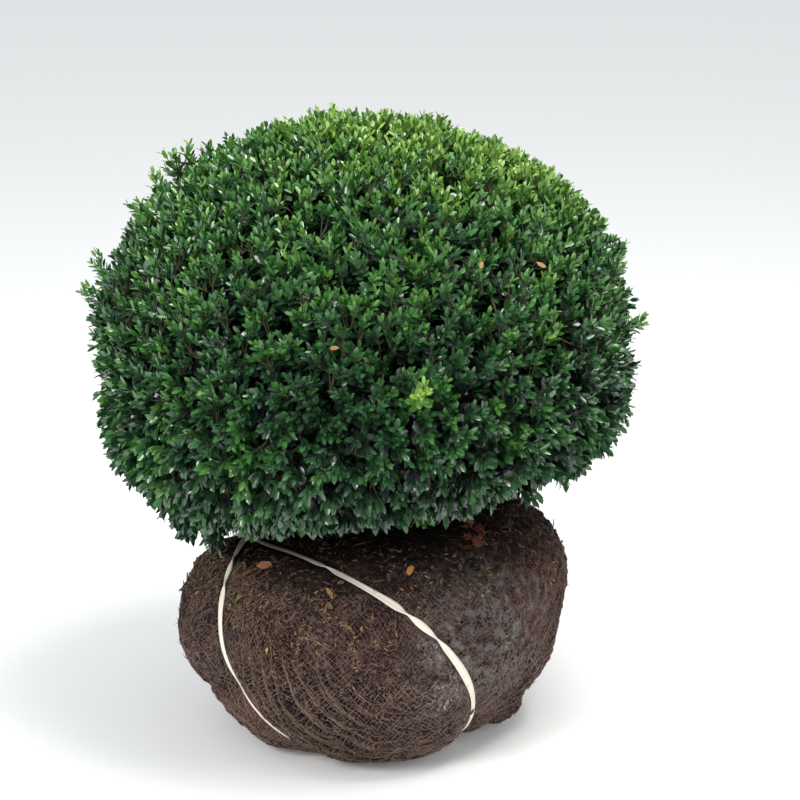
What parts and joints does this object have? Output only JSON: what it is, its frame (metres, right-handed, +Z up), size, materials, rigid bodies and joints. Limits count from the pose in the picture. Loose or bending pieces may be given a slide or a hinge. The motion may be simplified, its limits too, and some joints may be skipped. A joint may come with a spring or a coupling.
{
  "type": "box topiary ball on its root ball",
  "caption": "Clipped evergreen shrub with a flattened ball of dense small leaves, standing on its netted root ball, which is bound with flat ties.",
  "frame": {"origin": "centre of the flat underside of the root ball", "axes": "+Z up along the stem, +X to the right of the front view, -Y towards the front"},
  "size_m": [0.6175, 0.627, 0.7144],
  "materials": {
    "netted_soil": "rough netted soil with fine roots",
    "tie_band": "pale flat fibre band",
    "bark": "grey-brown fissured bark",
    "foliage": "glossy small leaves"
  },
  "bodies": {
    "root": {"root_ball": "netted_soil", "tie_left": "tie_band", "tie_right": "tie_band", "main_stem": "bark", "low_stub": "bark", "bough_1": "bark", "bough_2": "bark", "bough_3": "bark", "bough_4": "bark", "bough_5": "bark", "bough_6": "bark", "crown": "foliage"}
  },
  "joints": []
}
